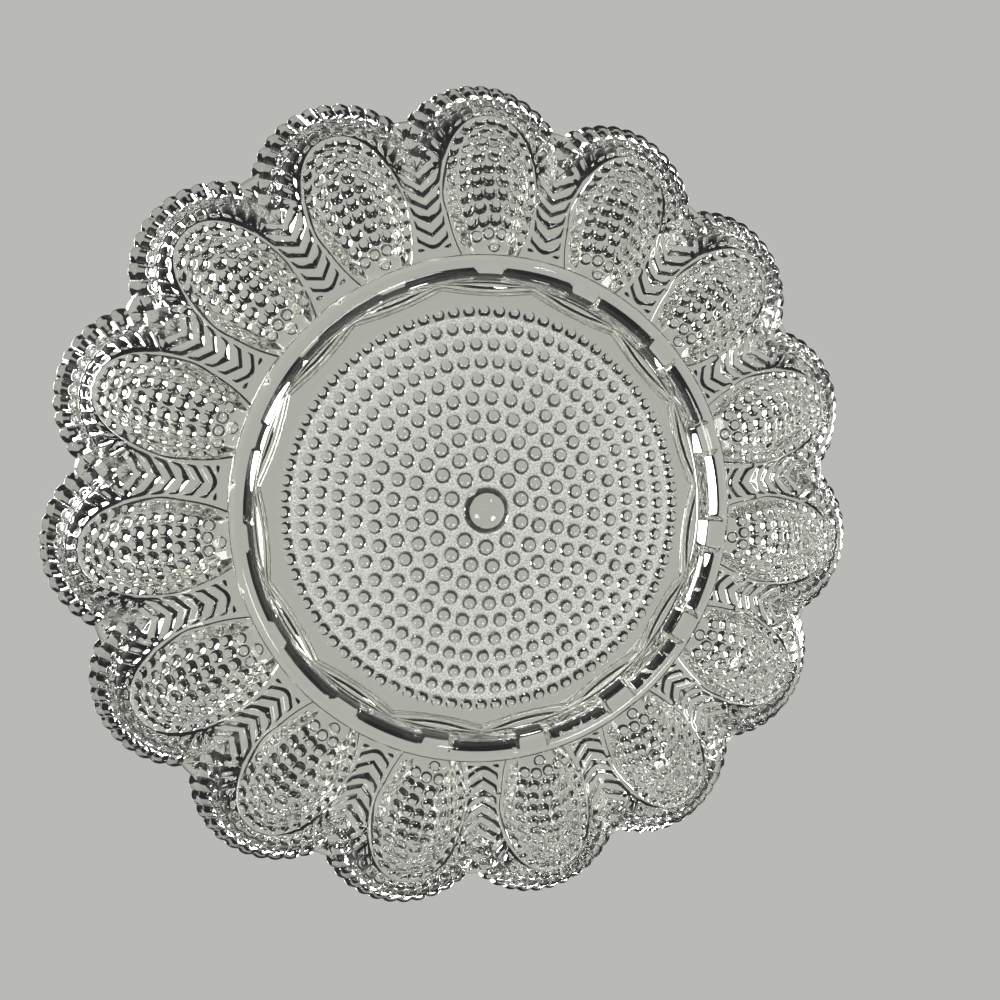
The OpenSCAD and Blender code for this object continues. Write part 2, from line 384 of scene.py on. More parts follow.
    def underside(self, u: Array, v: Array, plain: bool = False) -> Array:
        """Height of the plate's underside, without hobnails.

        Formula: the lowest of the bowl inside its egg outline, the lobe turned about the middle
        of the rim circle, the web turned about the plate's axis, and the foot ring, with
        fillets between them, flutes on the skirt and a herringbone on the webs.

        Args:
            u, v: places along and across the petal.
            plain: leaves the flutes and the herringbone out.

        Returns:
            Heights over the table.
        """
        r = np.hypot(u, v)
        d = np.hypot(u - self.lobe_centre_r, v)
        edge = self.egg_edge(u, v)
        crest, bone = (0.0, 0.0) if plain else (self.flutes(u, v), self.herringbone(u, v))
        turn_rise = (self.plate_h - self.crease_z) * self.skirt_turn_share
        turn_r = self.lobe_r - (self.plate_h - self.crease_z - turn_rise) / self.skirt_slope
        ramp = turn_rise / (turn_r - self.shoulder_r)
        out = crest * self.flute_out * fade(d, self.shoulder_r, turn_r)
        skirt = self.plate_h - (self.lobe_r + out - d) * self.skirt_slope
        lobe = smooth_max(self.crease_z + ramp * (d - self.shoulder_r), skirt, self.fine_blend)
        lobe = smooth_max(lobe, self.crease_z, self.fine_blend)
        web = self.floor_z + np.maximum(r - self.web_flat_r, 0.0) * self.web_slope
        notch = self.plate_h - (self.notch_r - r) * self.notch_slope
        web = smooth_max(web, notch, self.soft_blend)
        ground = smooth_min(lobe, web, self.soft_blend)
        on_skirt = fade(d, turn_r - self.skirt_run, turn_r + self.skirt_run)
        on_skirt = on_skirt * fade(web - lobe, 0, self.skirt_run)
        ribbed = fade(edge, *self.bone_clear) * fade(r, *self.bone_start_r) * (1 - on_skirt)
        ground = ground - bone * self.bone_h * ribbed
        side = self.crease_z + self.bowl_side_slope * edge
        behind = self.floor_z + (self.floor_r + self.foot_w - r) * self.bowl_side_slope
        bowl = smooth_max(np.maximum(self.bowl(u, v), behind), side, self.fine_blend)
        body = smooth_min(ground, bowl, self.fine_blend)
        return smooth_min(body, self.bead(r), self.fine_blend)

    def serving_side(self, u: Array, v: Array) -> Array:
        """Height of the plate's smooth upper face.

        Formula: as the underside, each surface raised by the glass over it, and cut off level
        at the rim. The centre is raised by one more step, whose edge lies furthest out between
        two petals and has a low lip. The bowls end before they reach the foot ring's crest.

        Args:
            u, v: places along and across the petal.

        Returns:
            Heights over the table.
        """
        r = np.hypot(u, v)
        d = np.hypot(u - self.lobe_centre_r, v)
        low = self.crease_z + self.glass_t - self.shoulder_fall
        inset = self.rim_t / math.sin(math.radians(self.skirt_angle))
        inner_r = self.bowl_r - self.glass_t
        top_z = self.crease_z + self.glass_t
        top_r = self.lobe_r - inset - (self.plate_h - top_z) / self.skirt_slope
        ramp = low + (d - inner_r) * self.shoulder_fall / (top_r - inner_r)
        skirt = self.plate_h - (self.lobe_r - inset - d) * self.skirt_slope
        lobe = smooth_max(np.maximum(ramp, low), skirt, self.soft_blend)
        flat = self.floor_z + self.glass_t
        turn = (np.arctan2(v, u) / self.half_step) ** 2
        out = (r - self.well_r - self.well_wave * turn) / (self.well_run + self.well_spread * turn)
        lip = self.lip_h * np.maximum(1 - out * out, 0.0)
        well = flat + self.well_step * (1 - fade(out, 0.0, 1.0)) + lip
        web = smooth_max(well, flat + (r - self.web_flat_r) * self.web_slope, self.fine_blend)
        ground = smooth_min(lobe, web, self.soft_blend)
        edge = self.egg_edge(u, v, self.glass_t)
        bowl = smooth_max(self.bowl(u, v, self.glass_t), low + self.bowl_side_slope * edge,
                          self.fine_blend)
        bowl_end_r = self.foot_r + self.foot_w / 2 - self.bowl_under_foot
        bowl = smooth_max(bowl, flat + (bowl_end_r - r) * self.bowl_end_slope, self.soft_blend)
        body = smooth_min(ground, bowl, self.soft_blend)
        return smooth_min(body, self.plate_h, self.fine_blend)

    def sheet(self, r: Array, phi: Array, upper: bool) -> Array:
        """Points of one of the plate's two faces.

        Args:
            r, phi: distances from the plate's axis and angles from the middle of the petal.
            upper: the serving side instead of the underside.

        Returns:
            Points, the last axis holding u, v and height.
        """
        u, v = polar(r, phi)
        surface = self.serving_side if upper else self.underside
        return np.stack([u, v, surface(u, v)], -1)


@dataclass(frozen=True)
class CupHobnails:
    """Small domes under a cup, in rings that follow the egg outline.

    They stand as the solids' domes do, and are a little fuller, so that they nearly touch.
    """

    width: float = 3.5
    height: float = 1.1
    fullness: float = 1.12
    pitch: float = 4.05
    ring_pitch: float = 3.55
    inset: float = 2.5
    rings: int = 4
    steps: int = 24
    hair: float = 0.02

    def places(self, form: PlateForm) -> Array:
        """Middles of one cup's domes.

        Formula: each ring is the egg outline drawn in, walked by its length in equal steps,
        every other ring half a step on. Where a ring is narrower than a dome, the two that would
        lie side by side give way to one on the middle line.

        Args:
            form: the plate's surfaces.

        Returns:
            Points on the underside, one row each, in the petal's frame.
        """
        found = []
        for k in range(self.rings):
            wall = self.inset + k * self.ring_pitch
            half = form.egg_half_w - wall
            reach, flank, _ = form.egg_arcs(np.array([-1, 1]), wall)
            sharp, blunt = np.minimum(reach, np.sqrt((2 * flank - half) * half))
            share = (1 - np.cos(np.pi * np.arange(self.steps + 1) / self.steps)) / 2
            us = form.egg_mid_r - sharp + (sharp + blunt) * share
            ws = form.egg_half_width(us, wall)
            ring = np.concatenate([np.stack([us, ws], 1)[::-1], np.stack([us, -ws], 1)[1:]])
            way = walked(*ring.T)
            count = int(way[-1] // self.pitch)
            at = (np.arange(count) + (k % 2) / 2) * way[-1] / count
            u, v = np.interp(at, way, ring[:, 0]), np.interp(at, way, ring[:, 1])
            narrow = np.abs(v) < self.width / 2
            kept = ~narrow | (v > -self.hair)
            found.append(np.stack([u, np.where(narrow, 0.0, v)], 1)[kept])
        flat = np.concatenate(found)
        clear_r = form.foot_r + form.foot_w / 2 + self.width / 2
        flat = flat[np.hypot(flat[:, 0], flat[:, 1]) > clear_r]
        return np.column_stack([flat, form.underside(flat[:, 0], flat[:, 1])])

    def rise(self, points: Array, places: Array) -> Array:
        """How far each point of the underside is lifted off by its nearest dome.

        Args:
            points: points of the underside, the last axis holding u, v and height.
            places: the domes' middles.

        Returns:
            The rise at each point.
        """
        flat = points.reshape(-1, 3)
        nearest = np.full(len(flat), np.inf)
        for place in places:
            nearest = np.minimum(nearest, np.sum((flat - place) ** 2, axis=1))
        rise = dome_rise(np.sqrt(nearest), self.width * self.fullness, self.height * self.fullness)
        return rise.reshape(points.shape[:-1])


@dataclass(frozen=True)
class CentreHobnails:
    """Rings of domes round a boss on the underside of the centre."""

    counts: tuple[int, ...] = (10, 16, 23, 29, 36, 40, 53, 59, 69, 81)
    first_r: float = 12.0
    ring_pitch: float = 6.26
    ring_closing: float = 0.12
    inner_width: float = 5.5
    outer_width: float = 3.9
    height: float = 1.9
    boss_width: float = 15.4
    boss_height: float = 5.0

    def rise(self, x: Array, y: Array) -> Array:
        """How far the boss and the domes stand off the flat underside.

        Formula: in each ring the nearest dome is the one whose angle is nearest, and the
        distance to it follows from the two radii and that angle.

        Args:
            x, y: places on the centre.

        Returns:
            The rise at each place.
        """
        r, angle = np.hypot(x, y), np.arctan2(y, x)
        rise = dome_rise(r, self.boss_width, self.boss_height)
        last = len(self.counts) - 1
        for k, count in enumerate(self.counts):
            ring = self.first_r + k * self.ring_pitch - k * (k - 1) / 2 * self.ring_closing
            width = self.inner_width + (self.outer_width - self.inner_width) * k / last
            step = 2 * math.pi / count
            turns = angle / step - k / 2
            off = (turns - np.round(turns)) * step
            apart = np.sqrt(np.maximum(r * r + ring * ring - 2 * r * ring * np.cos(off), 0.0))
            rise = np.maximum(rise, dome_rise(apart, width, self.height * width / self.inner_width))
        return rise


def grid_normals(points: Array, closed: bool = False) -> Array:
    """Outward normals of a grid whose rows run outwards and whose columns turn to the left.

    Formula: the cross product of the steps along a row and along a column.

    Args:
        points: rows by columns by three.
        closed: whether the last column meets the first.

    Returns:
        Unit normals, shaped as the points.
    """
    along = np.gradient(points, axis=0)
    if closed:
        across = np.roll(points, -1, axis=1) - np.roll(points, 1, axis=1)
    else:
        across = np.gradient(points, axis=1)
    normals = np.cross(across, along)
    return normals / np.maximum(np.linalg.norm(normals, axis=-1, keepdims=True), TINY)


def grid_quads(rows: int, columns: int, closed: bool = False) -> Array:
    """Corner numbers of a grid's faces, outwards for rows that run outwards below.

    Args:
        rows, columns: how many the grid has.
        closed: whether the last column meets the first.

    Returns:
        One row of four corner numbers for each face.
    """
    i, j = np.meshgrid(np.arange(rows - 1), np.arange(columns if closed else columns - 1),
                       indexing="ij")
    nxt = (j + 1) % columns
    return np.stack([i * columns + j, i * columns + nxt, (i + 1) * columns + nxt,
                     (i + 1) * columns + j], -1).reshape(-1, 4)


@dataclass
class Zone:
    """Points, normals and faces of one closed piece, gathered before its mesh is made."""

    points: Array
    normals: Array
    faces: list[Array] = field(default_factory=list)
    kinds: list[Face] = field(default_factory=list)
    attributes: dict[str, Array] = field(default_factory=dict)

    def add(self, faces: Array, kind: Face) -> None:
        """Adds faces that all have the same number of corners."""
        self.faces.append(np.atleast_2d(faces))
        self.kinds.append(kind)

    def add_wall(self, low: Array, high: Array) -> None:
        """Adds a wall between two closed lines of points, given by their numbers."""
        corners = [low, np.roll(low, -1), np.roll(high, -1), high]
        self.add(np.stack(corners, 1), Face.SHARED_WALL)

    def make(self, name: str, turn: float, materials: list[bpy.types.Material]) -> bpy.types.Object:
        """Makes the mesh object, turned about the plate's axis, and hangs it on the frame.

        Args:
            name: the object's name.
            turn: angle about the plate's axis, in radians.
            materials: one for each kind of face.

        Returns:
            The new object, at the origin.
        """
        spin = turned(turn)
        corners = np.concatenate([f.ravel() for f in self.faces])
        sizes = np.concatenate([np.full(len(f), f.shape[1]) for f in self.faces])
        kinds = np.concatenate([np.full(len(f), k.value) for f, k in zip(self.faces, self.kinds)])
        mesh = bpy.data.meshes.new(name)
        mesh.vertices.add(len(self.points))
        mesh.vertices.foreach_set("co", (self.points @ spin.T * MM).ravel())
        mesh.loops.add(len(corners))
        mesh.loops.foreach_set("vertex_index", corners.astype(np.int32))
        mesh.polygons.add(len(sizes))
        mesh.polygons.foreach_set("loop_start", (np.cumsum(sizes) - sizes).astype(np.int32))
        mesh.polygons.foreach_set("material_index", kinds.astype(np.int32))
        mesh.polygons.foreach_set("use_smooth", kinds == Face.POLISHED.value)
        mesh.update(calc_edges=True)
        mesh.normals_split_custom_set_from_vertices(self.normals @ spin.T)
        for key, values in self.attributes.items():
            mesh.attributes.new(key, "FLOAT", "POINT").data.foreach_set(
                "value", values.astype(np.float32))
        for material in materials:
            mesh.materials.append(material)
        piece = add_object(name, mesh)
        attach(piece, ROOT)
        LOG.info("%s: %d points, %d faces", name, len(self.points), len(sizes))
        return piece


@dataclass
class Petals:
    """Fifteen petals: an egg cup, its shoulder and webs, and its fluted rim."""

    form: PlateForm
    nails: CupHobnails = field(default_factory=CupHobnails)
    start_r: float = 81.2
    under_rows: int = 204
    top_rows: int = 84
    half_columns: int = 80
    lip_r: float = 0.6
    lip_rows: int = 4
    evenness: float = 0.75
    search: tuple[float, float] = (6.0, 2.0)
    halvings: int = 40
    fine_rows: int = 900
    fine_columns: int = 360
    row_angles: tuple[float, ...] = (0.0, 0.45, 0.8)

    def radii(self, shares: Array, reach: Array) -> Array:
        """Radii that lie at shares of the way from the foot ring's band to the rim's reach."""
        return self.start_r + shares * (reach - self.start_r)

    def rim_reach(self, phi: Array) -> Array:
        """Radius at which the underside turns into the lip.

        Formula: bisection along each angle for the height at which the lip's round starts.

        Args:
            phi: angles from the middle of the petal.

        Returns:
            Radii, one for each angle.
        """
        lean = math.cos(math.radians(self.form.skirt_angle))
        level = self.form.plate_h - self.lip_r * (1 + lean)
        low = np.full_like(phi, self.form.notch_r - self.search[0])
        high = np.full_like(phi, self.form.lobe_centre_r + self.form.lobe_r + self.search[1])
        for _ in range(self.halvings):
            middle = (low + high) / 2
            under = self.form.underside(*polar(middle, phi)) < level
            low, high = np.where(under, middle, low), np.where(under, high, middle)
        return (low + high) / 2

    def row_shares(self, rows: int) -> Array:
        """Shares of the way outwards at which rows lie, closer where the glass is steep.

        Formula: equal steps of length along the plain underside, averaged over a few angles.

        Args:
            rows: number of rows.

        Returns:
            Shares from zero to one.
        """
        fine = np.linspace(0.0, 1.0, self.fine_rows)
        total = np.zeros_like(fine)
        for share in self.row_angles:
            phi = np.full_like(fine, share * self.form.half_step)
            r = self.radii(fine, self.rim_reach(phi))
            way = walked(r, self.form.underside(*polar(r, phi), plain=True))
            total += way / way[-1]
        return np.interp(np.linspace(0, 1, rows), total / total[-1], fine)

    def column_angles(self, shares: Array) -> Array:
        """Angles of the columns in each row, closer where the glass is steep.

        Formula: equal steps of length across the plain underside, mixed with equal angles, and
        mirrored so that two petals meet point on point.

        Args:
            shares: shares of the way outwards.

        Returns:
            Rows by columns of angles in radians.
        """
        fine = np.linspace(0.0, self.form.half_step, self.fine_columns)
        u, v = polar(self.radii(shares[:, None], self.rim_reach(fine)), fine)
        way = walked(u, v, self.form.underside(u, v, plain=True))
        way = way / way[:, -1:]
        way = self.evenness * way + (1 - self.evenness) * fine / self.form.half_step
        at = np.linspace(0, 1, self.half_columns + 1)
        half = np.array([np.interp(at, row, fine) for row in way])
        return np.concatenate([-half[:, :0:-1], half], axis=1)

    def build(self) -> Zone:
        """Works out one petal along the first axis.

        Formula: the underside's rows run outwards, the lip's rows go round a small circle, and
        the serving side's rows come back, so the three are one grid wrapped round the glass.

        Returns:
            The petal's points and faces.
        """
        shares = self.row_shares(self.under_rows)
        phi = self.column_angles(shares)
        under = self.form.sheet(self.radii(shares[:, None], self.rim_reach(phi)), phi, False)
        lean = math.radians(self.form.skirt_angle)
        drawn_in = self.lip_r * math.sin(lean)
        angles = np.linspace(lean - math.pi / 2, math.pi / 2, self.lip_rows + 2)[1:]
        lip_r = self.rim_reach(phi[-1]) - drawn_in + self.lip_r * np.cos(angles)[:, None]
        lip_z = self.form.plate_h + self.lip_r * (np.sin(angles)[:, None] - 1)
        lip_u, lip_v = polar(lip_r, phi[-1])
        lip = np.stack([lip_u, lip_v, np.broadcast_to(lip_z, lip_u.shape)], -1)
        back = self.row_shares(self.top_rows)[::-1][1:]
        phi_back = np.array([np.interp(back, shares, column) for column in phi.T]).T
        r_back = self.radii(back[:, None], self.rim_reach(phi_back) - drawn_in)
        top = self.form.sheet(r_back, phi_back, True)
        normals = grid_normals(under)
        places = self.nails.places(self.form)
        under = under + normals * self.nails.rise(under, places)[..., None]
        points = np.concatenate([under, lip, top])
        normals = self.seam_normals(grid_normals(points))
        rows, columns = points.shape[:2]
        zone = Zone(points.reshape(-1, 3), normals.reshape(-1, 3))
        zone.add(grid_quads(rows, columns), Face.POLISHED)
        last, first = (rows - 1) * columns + np.arange(columns), np.arange(columns)
        zone.add(np.stack([last[:-1], last[1:], first[1:], first[:-1]], 1), Face.SHARED_WALL)
        side = np.arange(rows) * columns
        zone.add(side, Face.SHARED_WALL)
        zone.add((side + columns - 1)[::-1], Face.SHARED_WALL)
        return zone

    def seam_normals(self, normals: Array) -> Array:
        """Lays the normals at a petal's two sides into the planes where petals meet.

        Formula: two petals mirror each other there, so the part across the plane is taken off.

        Args:
            normals: rows by columns by three.

        Returns:
            The corrected normals.
        """
        out = normals.copy()
        for column, sign in ((0, -1), (-1, 1)):
            angle = sign * self.form.half_step
            across = np.array([-math.sin(angle), math.cos(angle), 0.0])
            edge = out[:, column] - (out[:, column] @ across)[:, None] * across
            out[:, column] = edge / np.linalg.norm(edge, axis=1, keepdims=True)
        return out

    def dress(self, materials: list[bpy.types.Material]) -> None:
        """Makes the fifteen petals and hides the solids that each stands for.

        Args:
            materials: one for each kind of face.
        """
        zone = self.build()
        for i in range(self.form.cups):
            number = f"{i + 1:02d}"
            piece = zone.make(f"petal_{number}", 2 * self.form.half_step * i, materials)
            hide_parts(f"egg_cup_{number}", f"fluted_rim_{number}",
                        f"cup_hobnails_{number}")


@dataclass
class FootRing:
    """The band of glass that carries the foot ring, with the narrow ends of the bowls."""

    form: PlateForm
    petals: Petals
    under_rows: int = 42
    top_rows: int = 36
    fine_rows: int = 4000

    def bead_radii(self) -> Array:
        """Radii of the underside's rows, closer where the bead is steep.

        Formula: equal steps of length along the bead.

        Returns:
            Radii from the inner to the outer edge of the band.
        """
        fine = np.linspace(self.form.floor_r, self.petals.start_r, self.fine_rows)
        z = smooth_min(self.form.bead(fine), self.form.floor_z, self.form.fine_blend)
        way = walked(fine, z)
        return np.interp(np.linspace(0, way[-1], self.under_rows), way, fine)

    def band(self, radii: Array, phi: Array, upper: bool) -> Array:
        """Points of the band's underside or serving side.

        Formula: one fifteenth is repeated round the plate, each time without its last column.

        Args:
            radii, phi: the rows' radii and the columns' angles in one fifteenth.
            upper: the serving side instead of the underside.

        Returns:
            Points, in rows and columns.
        """
        sector = self.form.sheet(*np.meshgrid(radii, phi, indexing="ij"), upper)
        spins = [turned(2 * self.form.half_step * i) for i in range(self.form.cups)]
        return np.concatenate([sector[:, :-1] @ spin.T for spin in spins], axis=1)

    def dress(self, materials: list[bpy.types.Material]) -> None:
        """Makes the band and hides the foot ring's solid, which it stands for.

        Args:
            materials: one for each kind of face.
        """
        phi = self.petals.column_angles(np.array([0.0]))[0][::2]
        back = np.linspace(self.petals.start_r, self.form.floor_r, self.top_rows)
        under = self.band(self.bead_radii(), phi, False)
        top = self.band(back, phi, True)
        rows, columns = len(under) + len(top), under.shape[1]
        points = np.concatenate([under, top]).reshape(-1, 3)
        normals = np.concatenate([grid_normals(under, True), grid_normals(top, True)])
        zone = Zone(points, normals.reshape(-1, 3))
        zone.add(grid_quads(len(under), columns, True), Face.POLISHED)
        zone.add(grid_quads(len(top), columns, True) + len(under) * columns, Face.POLISHED)
        for low, high in ((len(under) - 1, len(under)), (rows - 1, 0)):
            zone.add_wall(low * columns + np.arange(columns), high * columns + np.arange(columns))
        piece = zone.make("foot_ring_band", 0.0, materials)
        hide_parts("foot_ring")


@dataclass
class Centre:
    """The flat centre with its boss, its hobnails and the stippled ground between them."""

    form: PlateForm
    nails: CentreHobnails = field(default_factory=CentreHobnails)
    cells: int = 300
    stipple_r: float = 62.4
    clean_rise: float = 0.25
    grain_depth: float = 0.10
    seed: int = 15

    def disc(self) -> tuple[Array, Array]:
        """Spreads a square grid over the centre.

        Formula: the grid is drawn out to a disc by the concentric map, in which squares become
        rings, so all its cells keep about the same size.

        Returns:
            The places across and along, one for each point of the grid.
        """
        sides = np.linspace(-1, 1, self.cells + 1)
        a, b = np.meshgrid(sides, sides, indexing="ij")
        wide = np.abs(a) >= np.abs(b)
        safe_a, safe_b = np.where(a == 0, 1, a), np.where(b == 0, 1, b)
        radius = np.where(wide, a, b)
        angle = np.where(wide, math.pi / 4 * b / safe_a, math.pi / 2 - math.pi / 4 * a / safe_b)
        x, y = polar(radius, angle)
        return x * self.form.floor_r, y * self.form.floor_r

    def dress(self, materials: list[bpy.types.Material]) -> None:
        """Makes the centre and hides the solids that it stands for.

        Formula: the grid's points hang under the level of the floor by the rise of the domes
        and a random grain on the ground between them. Its rim carries the flat top.

        Args:
            materials: one for each kind of face.
        """
        x, y = self.disc()
        n = len(x)
        rise = self.nails.rise(x, y)
        ground = (1 - fade(rise, 0.0, self.clean_rise)) * (np.hypot(x, y) < self.stipple_r)
        grain = np.random.default_rng(self.seed).normal(0.0, self.grain_depth, x.shape) * ground
        points = np.stack([x, y, self.form.floor_z - rise - grain], -1)
        normals = grid_normals(points)
        index = np.arange(n * n).reshape(n, n)
        loop = np.concatenate([index[:-1, 0], index[-1, :-1], index[:0:-1, -1], index[0, :0:-1]])
        rim = points.reshape(-1, 3)[loop]
        top_z = self.form.floor_z + self.form.glass_t + self.form.well_step
        top = np.column_stack([rim[:, :2], np.full(len(rim), top_z)])
        up = np.tile([0.0, 0.0, 1.0], (len(top), 1))
        zone = Zone(np.concatenate([points.reshape(-1, 3), top]),
                    np.concatenate([normals.reshape(-1, 3), up]))
        zone.add(grid_quads(n, n), Face.POLISHED)
        above = n * n + np.arange(len(loop))
        zone.add(above, Face.POLISHED)
        zone.add_wall(loop, above)
        zone.attributes["stipple"] = np.concatenate([ground.ravel(), np.zeros(len(top))])
        piece = zone.make("centre", 0.0, materials)
        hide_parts("centre_floor", "centre_boss", "centre_hobnails")


def fresh_tree(owner: bpy.types.Material | bpy.types.World) -> bpy.types.NodeTree:
    """Gives a new material or world an empty node tree, and returns the tree."""
    owner.use_nodes = True
    owner.node_tree.nodes.clear()
    return owner.node_tree


def add_node(tree: bpy.types.NodeTree, kind: str, inputs: dict | None = None,
             **settings: str) -> bpy.types.Node:
    """Adds one node with its settings and its inputs.

    Args:
        tree: the node tree that gets it.
        kind: Blender's name for the node.
        inputs: input name or number to a value, or to an output or a node to link. Of a node
            the first live output is taken.
        settings: attributes of the node.

    Returns:
        The new node.
    """
    node = tree.nodes.new(kind)
    for key, value in settings.items():
        setattr(node, key, value)
    for key, value in (inputs or {}).items():
        if isinstance(value, bpy.types.Node):
            value = next(socket for socket in value.outputs if socket.enabled)
        if isinstance(value, bpy.types.NodeSocket):
            tree.links.new(value, node.inputs[key])
        else:
            node.inputs[key].default_value = value
    return node


@dataclass(frozen=True)
class PressedGlass:
    """Soda-lime glass, pressed in an iron mould and fire polished: clear, with a faint olive cast."""

    name: str
    colour: str = "#F6F7F0"
    shadow: str = "#E4E5DF"
    edge_shadow: str = "#8E908A"
    ior: float = 1.52
    roughness: float = 0.012
    ripple_mm: float = 4.0
    ripple_depth_mm: float = 0.010
    stipple_mm: float = 0.75
    stipple_depth_mm: float = 0.16
    stipple_roughness: float = 0.22
    frost: str = "#FFFFFC"
    frost_share: tuple[float, float] = (0.10, 0.95)
    frost_grain: tuple[float, float] = (0.36, 0.54)
    stippled: bool = False

    def make(self) -> bpy.types.Material:
        """Makes the material.

        The ripple is the slight waviness that fire polishing leaves. The stipple is the grain
        that a peened mould gives, drawn as coarse as it needs to show: its points scatter the
        light like frost. Lamps shine through the glass with a soft shadow that is darker where
        the glass is seen edge on.

        Returns:
            The new material.
        """
        material = bpy.data.materials.new(self.name)
        tree = fresh_tree(material)
        place = add_node(tree, "ShaderNodeTexCoord").outputs["Object"]
        ripple = add_node(tree, "ShaderNodeTexNoise", {
            "Vector": place, "Scale": 1 / (self.ripple_mm * MM), "Detail": 1.0, "Roughness": 0.4})
        normal = add_node(tree, "ShaderNodeBump", {
            "Distance": self.ripple_depth_mm * MM, "Height": ripple})
        glass = add_node(tree, "ShaderNodeBsdfPrincipled", {
            "Base Color": hex_colour(self.colour), "Roughness": self.roughness, "IOR": self.ior,
            "Transmission Weight": 1.0})
        surface = glass
        if self.stippled:
            mask = add_node(tree, "ShaderNodeAttribute", attribute_name="stipple").outputs["Fac"]
            grain = add_node(tree, "ShaderNodeTexNoise", {
                "Vector": place, "Scale": 1 / (self.stipple_mm * MM), "Detail": 2.0,
                "Roughness": 0.6})
            normal = add_node(tree, "ShaderNodeBump", {
                "Strength": mask, "Distance": self.stipple_depth_mm * MM, "Height": grain,
                "Normal": normal})
            rough = add_node(tree, "ShaderNodeMapRange", {
                "Value": mask, "To Min": self.roughness, "To Max": self.stipple_roughness})
            tree.links.new(rough.outputs["Result"], glass.inputs["Roughness"])
            frost = add_node(tree, "ShaderNodeBsdfDiffuse", {
                "Color": hex_colour(self.frost), "Normal": normal})
            speckle = add_node(tree, "ShaderNodeMapRange", {
                "Value": grain, "From Min": self.frost_grain[0], "From Max": self.frost_grain[1],
                "To Min": self.frost_share[0], "To Max": self.frost_share[1]})
            share = add_node(tree, "ShaderNodeMath", {0: mask, 1: speckle}, operation="MULTIPLY")
            surface = add_node(tree, "ShaderNodeMixShader", {"Fac": share, 1: surface, 2: frost})
        tree.links.new(normal.outputs["Normal"], glass.inputs["Normal"])
        facing = add_node(tree, "ShaderNodeLayerWeight", {"Blend": 0.5}).outputs["Facing"]
        tint = add_node(tree, "ShaderNodeMix", {
            "Factor": facing, "A": hex_colour(self.shadow), "B": hex_colour(self.edge_shadow)},
            data_type="RGBA")
        through = add_node(tree, "ShaderNodeBsdfTransparent", {"Color": tint})
        lamps = add_node(tree, "ShaderNodeLightPath").outputs["Is Shadow Ray"]
        mix = add_node(tree, "ShaderNodeMixShader", {"Fac": lamps, 1: surface, 2: through})
        add_node(tree, "ShaderNodeOutputMaterial", {"Surface": mix})
        return material


@dataclass(frozen=True)
class SharedWall:
    """The place where two zones of one pressing meet: solid glass, so nothing shows there."""

    name: str = "glass_runs_on"

    def make(self) -> bpy.types.Material:
        """Makes the material, which lets every ray pass straight on.

        Returns:
            The new material.
        """
        material = bpy.data.materials.new(self.name)
        tree = fresh_tree(material)
        clear = add_node(tree, "ShaderNodeBsdfTransparent")
        add_node(tree, "ShaderNodeOutputMaterial", {"Surface": clear})
        return material


@dataclass(frozen=True)
class Lamp:
    """One soft lamp: where it hangs, how wide it is and how much it gives."""

    name: str
    at: tuple[float, float, float]
    size: float = 0.10
    power: float = 2.0

    def hang(self) -> None:
        """Hangs the lamp and points it at the middle of the plate."""
        data = bpy.data.lights.new(self.name, "AREA")
        data.shape = "DISK"
        data.size = self.size
        data.energy = self.power
        lamp = add_object(self.name, data)
        lamp.location = self.at
        lamp.rotation_euler = (-Vector(self.at)).to_track_quat("-Z", "Y").to_euler()


